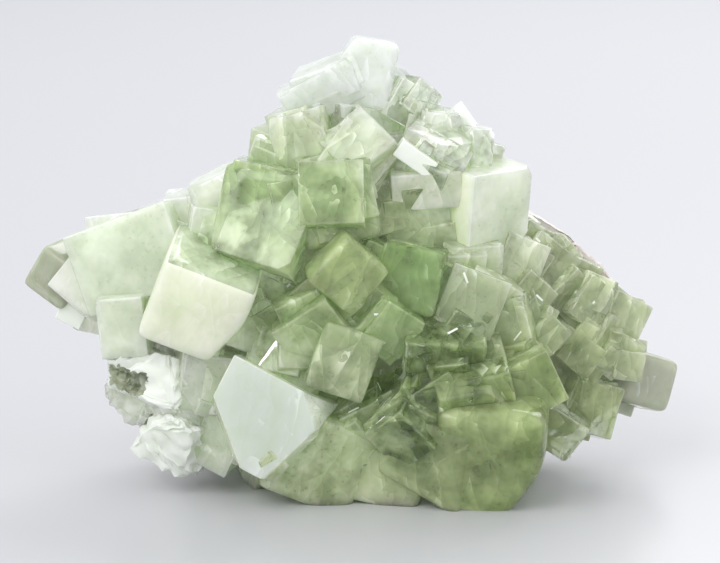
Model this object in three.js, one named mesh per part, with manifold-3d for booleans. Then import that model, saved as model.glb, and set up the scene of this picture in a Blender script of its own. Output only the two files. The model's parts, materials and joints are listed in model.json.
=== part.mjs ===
// A fluorite specimen: green cube-shaped crystals grown together into one mass, on a thin crust of pale rock.
// Millimetres, +Z up. The crystals face -Y and the rock is at the back. The origin is at the middle of the
// base.
import * as THREE from "three";
import { ConvexGeometry } from "three/addons/geometries/ConvexGeometry.js";
import { mergeVertices } from "three/addons/utils/BufferGeometryUtils.js";
import Module from "manifold-3d";

const wasm = await Module();
wasm.setup();

// Driving dimensions
const jointGap = 0.3; // between the crystals and the rock they grew on
const contactDepth = 21.6; // where the crystals meet the rock at floor level, on +Y
const contactLean = 0.07; // how far that surface comes forward for each millimetre of height
const contactBow = 6; // how far it comes forward at the two ends
const contactSwell = 1.2; // how far it rises and falls in between
const crustThickness = 6;
const crustRelief = 2.6; // how far the rock's broken back rises and falls
const crustCell = 5.5; // spacing of the rock's lumps
const crustRag = 1.4; // how far the rock's edge wanders from its outline
const halfLength = 65; // from the middle to an end of the rock
const halfHeight = 48;
const middleHeight = 36;
const rimCrystalCount = 46; // small crystals round the sides, between the front and the rock
const farAway = 300; // past every side of the specimen

// The crystals, each named for where it shows: centre, edges (width, depth, height) and turn in degrees.
// A turn is yaw (front face to the right), pitch (front face down) and roll (clockwise, seen from the front).
// A blunt crystal has its edges worn back by that much. A trim is a broken or bevelled side: the way it
// faces and its distance from the centre.
const crystals = {
  // Left wing
  leftTip: { at: [-62.75, 6, 45], size: [10.5, 12, 10.5], turn: [-20, 0, 32], blunt: 1 },
  leftWingBlock: { at: [-46, 4.5, 49], size: [24, 20, 18], turn: [-14, -8, -22], blunt: 1.2 },
  leftWingCrest: { at: [-46.5, 10, 53.2], size: [19, 9, 9], turn: [-6, 0, -18] },
  leftWingFoot: { at: [-55.5, 3, 44.5], size: [13, 12, 13], turn: [-12, -6, 38], blunt: 0.8 },
  underLeftTip: { at: [-60, 4, 37.5], size: [6, 6, 6], turn: [-10, 0, 25] },
  underLeftWing: { at: [-56, 6, 36.5], size: [8, 8, 8], turn: [0, 0, 12] },
  leftMintBlock: { at: [-48.5, -3, 36.5], size: [10, 14, 13], turn: [-6, 0, -6], blunt: 0.8 },
  leftFrostedBlock: { at: [-32, -9, 43.5], size: [20, 20, 19], turn: [-6, 14, 22], blunt: 1.8 },
  leftRidgeCube: { at: [-36.8, 4, 60], size: [6.5, 7, 6.5], turn: [-5, 8, -8] },
  leftRidgeSlab: { at: [-28.7, 2.5, 64.5], size: [12, 12, 6.5], turn: [0, 0, -27] },
  leftShoulder: { at: [-31, 2, 56], size: [10, 12, 10], turn: [8, 0, 10] },
  // Lower left, broken along cleavage
  brokenUpperWedge: { at: [-43, -2, 24], size: [15, 14, 8], turn: [-10, -20, 22] },
  brokenLeftWedge: { at: [-46.5, 1, 21], size: [9, 12, 11], turn: [-20, 5, -12] },
  brokenLowerWedge: { at: [-38.5, -3, 14], size: [13, 14, 10], turn: [-12, 12, 32] },
  brokenMintWedge: { at: [-38.5, -4, 19], size: [9, 12, 8], turn: [5, -10, 25] },
  // Lower front
  whiteFacedBlock: {
    at: [-19, -13, 15.5],
    size: [22, 20, 21],
    turn: [-8, -12, 26],
    blunt: 0.5,
    trims: [
      { faces: [-0.93, -0.2, -0.31], distance: 9 },
      { faces: [0.62, -0.45, -0.62], distance: 10.5 },
    ],
  },
  notchCrystal: { at: [-18.5, -20, 10], size: [6, 6, 6], turn: [5, 10, 40] },
  leftOfWhiteFace: { at: [-28.5, -6, 12], size: [11, 12, 12], turn: [-15, 0, 25] },
  aboveLeftOfWhiteFace: { at: [-31, -7, 25], size: [12, 12, 12], turn: [5, 0, 10] },
  yellowGreenBlock: { at: [-5, -4, 9.5], size: [16, 16, 16], turn: [10, 10, 40], blunt: 1 },
  darkRecessBlock: { at: [2.5, -11, 15.5], size: [13, 13, 13], turn: [0, 10, -30] },
  oliveBlock: { at: [-2.5, -14, 31], size: [12.5, 14, 14], turn: [5, -5, 20], blunt: 1.4 },
  greatLowerBlock: {
    at: [27.5, -14, 11.5],
    size: [25, 24, 22],
    turn: [-5, 12, 4],
    blunt: 3,
    trims: [{ faces: [0.78, -0.2, -0.6], distance: 12.5 }],
  },
  diagonalBandBlock: { at: [15, -13, 14], size: [14, 18, 14], turn: [-8, 8, 44], blunt: 1 },
  paleFoot: { at: [9, -5, 6], size: [14, 14, 12], turn: [-10, 5, 15], blunt: 1 },
  darkHollowBlock: { at: [16, -7, 22.5], size: [12, 12, 12], turn: [10, 5, 20] },
  // Centre
  greatGreenBlock: { at: [-18, -1, 58.5], size: [19, 20, 19], turn: [-10, -18, 8], blunt: 1.5 },
  greatGreenTwin: { at: [-4.5, 0, 61], size: [17, 20, 17], turn: [6, -15, -10], blunt: 1.5 },
  smoothGreyBlock: { at: [-2, -12, 50], size: [12, 13, 12], turn: [10, 5, 42], blunt: 1.6 },
  greenHollowBlock: { at: [-16, -4, 46], size: [14, 14, 14], turn: [20, 0, 15] },
  deepGreenBlock: { at: [12.5, -6, 47], size: [13, 14, 14], turn: [-10, -5, 10], blunt: 1 },
  deepGreenUpperBlock: { at: [13, 2, 57], size: [14, 12, 13], turn: [8, 0, -6] },
  leafGreenBlock: { at: [7, -11, 38], size: [11, 11, 11], turn: [0, 10, 40], blunt: 1 },
  slantingBlock: { at: [-8, -11, 37.5], size: [14, 13, 13], turn: [0, 15, -35], blunt: 1 },
  mottledBlock: { at: [-22, -7, 38], size: [12, 12, 12], turn: [10, 0, 20] },
  mottledLowerBlock: { at: [-14, -8, 28], size: [16, 14, 14], turn: [0, -20, 15] },
  darkBandBlock: { at: [19, -12, 34], size: [17, 12, 8], turn: [0, 25, 3], blunt: 1.2 },
  paleMiddleBlock: { at: [24.5, -5, 42], size: [13, 13, 13], turn: [5, -5, 22], blunt: 0.6 },
  inclusionBlock: { at: [24, 0, 49], size: [12, 12, 11], turn: [20, 10, 0] },
  // Summit
  summitBlock: { at: [2.5, 10, 88.5], size: [12, 12, 14], turn: [0, -5, 10], blunt: 1.2 },
  summitSlab: { at: [-7, 9, 84], size: [17, 12, 9], turn: [0, 0, -28], blunt: 1.2 },
  rightOfSummit: { at: [11, 8, 82], size: [9, 9, 9], turn: [15, 0, 30] },
  rightSummitCube: { at: [17.5, 6, 77], size: [8, 8, 8], turn: [10, 0, 10] },
  upperLeftBlock: { at: [-10, 5, 75], size: [12, 13, 12], turn: [-15, 0, -15] },
  upperLeftStep: { at: [-16.5, 6, 69.5], size: [10, 10, 10], turn: [-20, 0, 20] },
  roofBlock: { at: [0, 3, 69.5], size: [14, 15, 14], turn: [0, -20, 40], blunt: 0.8 },
  clearUpperBlock: { at: [17, 3, 71], size: [13, 13, 13], turn: [-20, 10, 25] },
  whiteShard: { at: [13, -3, 72], size: [9, 5, 4], turn: [0, 0, 35] },
  shelfBlock: { at: [15.5, 1, 66], size: [15, 12, 8], turn: [0, 10, -4], blunt: 0.8 },
  narrowBlock: { at: [25.5, 4, 71.5], size: [5, 8, 12], turn: [30, 0, 5] },
  whitePlate: { at: [24.5, 9, 77], size: [3, 8, 9], turn: [0, 0, -35] },
  peepingCube: { at: [29, 10, 70.5], size: [5, 5, 5], turn: [20, 0, 15] },
  // Right wing
  rightCube: { at: [26, 7, 59], size: [17, 15, 17], turn: [40, 6, 0], blunt: 0.6 },
  besideRightCube: { at: [34.5, 5, 48], size: [10, 11, 11], turn: [15, -5, 24] },
  underRightCube: { at: [40.5, 10, 45.5], size: [11, 12, 11], turn: [10, -15, 40] },
  rightSlopeCube: { at: [50, 8, 38], size: [10, 12, 10], turn: [25, -5, 38] },
  rightEdgeCube: { at: [55, 11, 34], size: [11, 12, 11], turn: [20, -5, 16] },
  rightEdgeStep: { at: [55.5, 9, 38], size: [6, 6, 6], turn: [20, 10, 20] },
  smallTiltedCube: { at: [37, 0.5, 41.5], size: [8.5, 8.5, 8.5], turn: [15, -5, 43] },
  smallerTiltedCube: { at: [41.6, -2, 34], size: [7, 7, 7], turn: [5, 0, 45] },
  narrowRightCube: { at: [34.5, -4, 36.5], size: [8, 10, 12], turn: [-15, 0, -15] },
  rightOliveBlock: { at: [36.5, -11, 25.5], size: [12, 13, 12], turn: [10, 0, -25], blunt: 0.6 },
  rightMiddleCube: { at: [50, 6, 28.5], size: [11, 11, 11], turn: [10, -5, 40] },
  rightLowerCube: { at: [56, 6, 28], size: [9, 9, 9], turn: [25, 5, 30] },
  rightTip: { at: [62, 12, 20], size: [13, 12, 11], turn: [20, -10, 20], blunt: 1 },
  rightTipCube: { at: [59, 4, 25.5], size: [6.5, 6.5, 6.5], turn: [10, 0, 10], blunt: 1 },
  rightFootBlock: { at: [50.5, 7, 16.5], size: [11, 12, 11], turn: [15, 0, 20] },
  rightFootShard: { at: [45, 4, 12], size: [10, 10, 10], turn: [-10, 15, 35] },
};

// Larger crystals behind those that show, down to the rock and the base
const backCrystals = {
  middleBack: { at: [-3, 11, 38], size: [42, 24, 48], turn: [4, 0, 6] },
  leftBack: { at: [-38, 10, 43], size: [32, 18, 16], turn: [6, 0, -8] },
  rightBack: { at: [36, 14, 28], size: [32, 16, 20], turn: [-8, 0, 20] },
  upperBack: { at: [3, 11, 70], size: [22, 14, 22], turn: [10, 0, 12] },
  leftBase: { at: [-12.5, 7, 9], size: [22, 22, 22], turn: [16, 6, 9] },
  middleBase: { at: [5, 8, 10], size: [26, 26, 24], turn: [-12, -4, 5], blunt: 1.5 },
  rightBase: { at: [23, 9, 10], size: [24, 24, 22], turn: [22, 5, -10] },
};

// The rock's outline seen from the front, as [x, z] from its left foot, clockwise
const crustOutline = [
  [-26, 0], [-36, 7], [-43, 17], [-46, 28], [-57, 36], [-61, 44], [-50, 53], [-36, 60], [-24, 67],
  [-15, 78], [-3, 86], [8, 83], [18, 74], [29, 64], [41, 54.5], [50, 48], [57.5, 41], [60, 33], [64, 24],
  [59, 15], [50, 9], [36, 4], [30, 0],
];

// Values from 0 to 1, evenly spread or uneven
const share = (n, step) => (n * step) % 1;
const uneven = (a, b) => Math.abs(437.585 * Math.sin(12.9898 * Math.round(a) + 78.233 * Math.round(b))) % 1;
const between = (low, high, t) => low + (high - low) * t;

function turned([yaw, pitch, roll]) {
  const [y, p, r] = [yaw, pitch, roll].map(THREE.MathUtils.degToRad);
  return new THREE.Euler(p, r, y, "ZXY");
}

// A closed geometry as a solid to join and cut
function solidOf(geometry) {
  const bare = geometry.clone();
  bare.deleteAttribute("normal");
  bare.deleteAttribute("uv");
  const merged = mergeVertices(bare);
  return new wasm.Manifold(
    new wasm.Mesh({
      numProp: 3,
      vertProperties: new Float32Array(merged.attributes.position.array),
      triVerts: new Uint32Array(merged.index.array),
    }),
  );
}

function geometryOf(solid) {
  const mesh = solid.getMesh();
  const geometry = new THREE.BufferGeometry();
  geometry.setAttribute("position", new THREE.BufferAttribute(mesh.vertProperties, mesh.numProp));
  geometry.setIndex(new THREE.BufferAttribute(mesh.triVerts, 1));
  return geometry;
}

// A block whose edges are cut back by blunt
function bluntBlock([width, depth, height], blunt) {
  if (!blunt) return new THREE.BoxGeometry(width, depth, height);
  const half = new THREE.Vector3(width, depth, height).divideScalar(2);
  const points = [];
  for (const axis of ["x", "y", "z"])
    for (const i of [-1, 1])
      for (const j of [-1, 1])
        for (const k of [-1, 1]) {
          const corner = half.clone().subScalar(blunt);
          corner[axis] = half[axis];
          points.push(corner.multiply(new THREE.Vector3(i, j, k)));
        }
  return new ConvexGeometry(points);
}

// Everything on the far side of a plane that faces a given way
function beyond(point, faces, distance) {
  const way = new THREE.Vector3(...faces).normalize();
  const block = new THREE.BoxGeometry(farAway, farAway, farAway).translate(0, 0, farAway / 2 + distance);
  const turn = new THREE.Quaternion().setFromUnitVectors(new THREE.Vector3(0, 0, 1), way);
  return solidOf(block.applyQuaternion(turn).translate(...point));
}

// One crystal: a block, turned and put in its place, with its broken sides cut off
function crystalSolid({ at, size, turn, blunt = 0, trims = [] }) {
  const place = new THREE.Matrix4().makeRotationFromEuler(turned(turn)).setPosition(...at);
  const whole = solidOf(bluntBlock(size, blunt).applyMatrix4(place));
  return trims.reduce((left, trim) => left.subtract(beyond(at, trim.faces, trim.distance)), whole);
}

// The rock's outline as one closed path
function crustEdge() {
  const edge = new THREE.Path(crustOutline.map(([x, z]) => new THREE.Vector2(x, z)));
  edge.closePath();
  return edge;
}

// Small crystals along the rock's edge, a little inside its outline
function rimCrystals() {
  const edge = crustEdge();
  const middle = new THREE.Vector2(0, middleHeight);
  return Array.from({ length: rimCrystalCount }, (_, n) => {
    const inward = between(0.14, 0.26, share(n, 0.618));
    const point = edge.getPointAt(n / rimCrystalCount).lerp(middle, inward);
    const width = between(6, 10, share(n, 0.414));
    const depth = contact(point.x, point.y) - between(2, 9, share(n, 0.732));
    const yaw = between(-40, 40, share(n, 0.236));
    const pitch = between(-25, 25, share(n, 0.559));
    const roll = between(0, 90, share(n, 0.323));
    return {
      at: [point.x, depth, Math.max(point.y, width / 2)],
      size: [width, width, width],
      turn: [yaw, pitch, roll],
    };
  });
}

// The rock's outline with a ragged edge, grown by a margin, as a prism through the whole depth
function outlinePrism(margin) {
  const middle = new THREE.Vector2(0, middleHeight);
  const edge = crustEdge();
  const count = 3 * crustOutline.length;
  const grown = Array.from({ length: count }, (_, n) => {
    const point = edge.getPointAt(n / count);
    const out = point.clone().sub(middle).normalize();
    return point.addScaledVector(out, margin + crustRag * (uneven(n, 7) - 0.5));
  });
  const through = { depth: 2 * farAway, bevelEnabled: false };
  const prism = new THREE.ExtrudeGeometry(new THREE.Shape(grown), through);
  return solidOf(prism.rotateX(Math.PI / 2).translate(0, farAway, 0));
}

// Where the crystals meet the rock, and the rock's broken back
const contact = (x, z) => {
  const swell = contactSwell * Math.sin(x / 11) * Math.cos(z / 13);
  return contactDepth - contactLean * z - contactBow * (x / halfLength) ** 2 + swell;
};
const brokenBack = (x, z) => {
  const outward = (x / halfLength) ** 2 + ((z - middleHeight) / halfHeight) ** 2;
  const thickness = crustThickness * Math.max(1 - 0.5 * outward, 0.4);
  return contact(x, z) + thickness + crustRelief * (uneven(x, z) - 0.4);
};

// A slab between two uneven faces, wider and taller than the outline
function crustSlab(front, back) {
  const columns = Math.ceil((2.3 * halfLength) / crustCell);
  const rows = Math.ceil((2.3 * halfHeight) / crustCell);
  const slab = new THREE.BoxGeometry(columns * crustCell, 1, rows * crustCell, columns, 1, rows);
  const points = slab.translate(0, 0, middleHeight).attributes.position;
  for (let n = 0; n < points.count; n++) {
    const face = points.getY(n) < 0 ? front : back;
    points.setY(n, face(points.getX(n), points.getZ(n)));
  }
  return solidOf(slab);
}

function crustSolid() {
  return crustSlab(contact, brokenBack).intersect(outlinePrism(0));
}

function crustRoom() {
  const front = (x, z) => contact(x, z) - jointGap;
  return crustSlab(front, () => farAway).intersect(outlinePrism(jointGap));
}

const largest = (solid) => solid.decompose().sort((a, b) => b.volume() - a.volume())[0];
const onFloor = (solid) => solid.subtract(beyond([0, 0, 0], [0, 0, -1], 0));

function crystalMass() {
  const placed = [...Object.values(backCrystals), ...Object.values(crystals), ...rimCrystals()];
  const all = placed.map(crystalSolid).reduce((mass, crystal) => mass.add(crystal));
  return largest(onFloor(all.subtract(crustRoom())));
}

function piece(name, solid, color, roughness) {
  const mesh = new THREE.Mesh(
    geometryOf(solid),
    new THREE.MeshStandardMaterial({ color, roughness, metalness: 0 }),
  );
  mesh.name = name;
  return mesh;
}

const specimen = new THREE.Group();
specimen.name = "fluorite_specimen";
specimen.add(piece("fluorite_crystals", crystalMass(), 0xa9c795, 0.25));
specimen.add(piece("rock_crust", largest(onFloor(crustSolid())), 0xcdbfb2, 0.9));

export default specimen;
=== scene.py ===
# Dresses the fluorite specimen: see-through green crystals grown together on a thin crust of pale rock
import functools
import itertools
import json
import math
import random

import bmesh
import bpy
from mathutils import Matrix, Vector, noise

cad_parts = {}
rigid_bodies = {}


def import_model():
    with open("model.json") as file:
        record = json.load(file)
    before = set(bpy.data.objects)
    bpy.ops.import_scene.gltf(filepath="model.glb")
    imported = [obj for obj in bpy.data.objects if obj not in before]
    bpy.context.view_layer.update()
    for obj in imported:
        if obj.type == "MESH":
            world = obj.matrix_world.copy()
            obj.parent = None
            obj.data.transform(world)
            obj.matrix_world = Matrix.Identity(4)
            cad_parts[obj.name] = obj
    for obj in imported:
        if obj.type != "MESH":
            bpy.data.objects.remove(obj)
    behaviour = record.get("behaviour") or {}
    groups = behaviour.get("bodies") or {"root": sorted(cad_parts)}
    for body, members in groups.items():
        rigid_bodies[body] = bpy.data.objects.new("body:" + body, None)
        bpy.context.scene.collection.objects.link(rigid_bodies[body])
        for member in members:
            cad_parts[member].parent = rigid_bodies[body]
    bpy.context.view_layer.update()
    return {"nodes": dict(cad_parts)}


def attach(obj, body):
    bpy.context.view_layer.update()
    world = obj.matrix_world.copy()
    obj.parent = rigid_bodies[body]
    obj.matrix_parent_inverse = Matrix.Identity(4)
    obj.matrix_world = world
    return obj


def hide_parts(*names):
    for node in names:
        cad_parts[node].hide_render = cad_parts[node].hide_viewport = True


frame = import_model()
mm = 0.001
print("frame loaded")


# Shader nodes

class Wire:
    # a socket, with arithmetic that adds Math nodes
    def __init__(self, finish, socket):
        self.finish = finish
        self.socket = socket

    def also(self, output):
        return Wire(self.finish, self.socket.node.outputs[output])

    def math(self, operation, first, second):
        return self.finish.node("Math", {"operation": operation}, {0: first, 1: second})

    def __add__(self, other):
        return self.math("ADD", self, other)

    def __radd__(self, other):
        return self.math("ADD", other, self)

    def __sub__(self, other):
        return self.math("SUBTRACT", self, other)

    def __rsub__(self, other):
        return self.math("SUBTRACT", other, self)

    def __mul__(self, other):
        return self.math("MULTIPLY", self, other)

    def __rmul__(self, other):
        return self.math("MULTIPLY", other, self)

    def __pow__(self, other):
        return self.math("POWER", self, other)


mixSlots = dict(first=6, second=7, result=2)  # a Mix node's sockets for colours


class Finish:
    # a material and its node tree
    def __init__(self, name):
        self.material = bpy.data.materials.new(name)
        self.material.use_nodes = True
        self.tree = self.material.node_tree
        self.tree.nodes.clear()
        self.end = self.tree.nodes.new("ShaderNodeOutputMaterial")

    def node(self, kind, settings=None, sockets=None):
        made = self.tree.nodes.new("ShaderNode" + kind)
        for name, value in (settings or {}).items():
            if name == "stops":
                self.setStops(made.color_ramp, value)
            else:
                setattr(made, name, value)
        for name, value in (sockets or {}).items():
            if isinstance(value, Wire):
                self.tree.links.new(value.socket, made.inputs[name])
            else:
                made.inputs[name].default_value = value
        return Wire(self, next(out for out in made.outputs if out.enabled))

    def setStops(self, ramp, stops):
        while len(ramp.elements) < len(stops):
            ramp.elements.new(1)
        for element, (position, level) in zip(ramp.elements, stops):
            element.position = position
            element.color = (level, level, level, 1)

    def mixColour(self, factor, first, second, blend="MIX"):
        mix = self.node("Mix", {"data_type": "RGBA", "blend_type": blend}, {"Factor": factor})
        node = mix.socket.node
        for slot, value in ((mixSlots["first"], first), (mixSlots["second"], second)):
            if isinstance(value, Wire):
                self.tree.links.new(value.socket, node.inputs[slot])
            else:
                node.inputs[slot].default_value = (*value, 1)
        return Wire(self, node.outputs[mixSlots["result"]])

    def ramp(self, value, *stops):
        return self.node("ValToRGB", {"stops": stops}, {"Fac": value})

    def vector(self, operation, *values):
        return self.node("VectorMath", {"operation": operation}, dict(enumerate(values)))

    def stored(self, name):
        return self.node("Attribute", {"attribute_name": name})

    def noiseAt(self, place, settings):
        return self.node("TexNoise", sockets={"Vector": place, **settings})

    def surface(self, colour, roughness, more=None):
        sockets = {"Base Color": colour, "Roughness": roughness, **(more or {})}
        return self.node("BsdfPrincipled", sockets=sockets)

    def finishWith(self, surface, volume=None):
        self.tree.links.new(surface.socket, self.end.inputs["Surface"])
        if volume:
            self.tree.links.new(volume.socket, self.end.inputs["Volume"])
        return self.material


# Fluorite crystals

# How a crystal looks: its tint, how milky it is inside, how frosted its faces are and how strongly the
# shards between its cleavage planes show
looks = dict(
    milk=dict(tint=(0.96, 0.98, 0.88), cloud=0.66, frost=0.25, shard=0.6),
    calm=dict(tint=(0.91, 0.95, 0.83), cloud=0.70, frost=0.25, shard=0.15),
    frosted=dict(tint=(0.93, 0.97, 0.79), cloud=0.80, frost=0.45, shard=0.5),
    whiteFrost=dict(tint=(0.63, 0.66, 0.62), cloud=0.84, frost=0.60, shard=0.6),
    moss=dict(tint=(0.82, 0.90, 0.68), cloud=0.55, frost=0.15, shard=0.6),
    mint=dict(tint=(0.93, 0.98, 0.83), cloud=0.62, frost=0.22, shard=0.6),
    chalk=dict(tint=(0.90, 0.91, 0.87), cloud=0.88, frost=0.80, shard=0.4),
    clear=dict(tint=(0.92, 0.97, 0.84), cloud=0.48, frost=0.08, shard=1.0),
    spring=dict(tint=(0.66, 0.77, 0.44), cloud=0.48, frost=0.10, shard=0.6),
    leaf=dict(tint=(0.58, 0.72, 0.38), cloud=0.44, frost=0.08, shard=0.6),
    deep=dict(tint=(0.33, 0.51, 0.17), cloud=0.38, frost=0.04, shard=0.5),
    shadow=dict(tint=(0.25, 0.32, 0.14), cloud=0.38, frost=0.04, shard=0.8),
    heath=dict(tint=(0.60, 0.67, 0.39), cloud=0.46, frost=0.06, shard=0.4),
    olive=dict(tint=(0.54, 0.62, 0.31), cloud=0.46, frost=0.06, shard=0.5),
    sage=dict(tint=(0.66, 0.71, 0.49), cloud=0.46, frost=0.12, shard=0.8),
    dusk=dict(tint=(0.46, 0.47, 0.37), cloud=0.74, frost=0.45, shard=0.6),
    lime=dict(tint=(0.86, 0.93, 0.62), cloud=0.52, frost=0.08, shard=0.4),
    pale=dict(tint=(0.88, 0.91, 0.72), cloud=0.54, frost=0.14, shard=0.7),
    summit=dict(tint=(0.84, 0.84, 0.85), cloud=0.72, frost=0.30, shard=0.5),
)


def block(at, size, turn, look, **more):
    return dict(at=at, size=size, turn=turn, look=look, **more)


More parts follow.
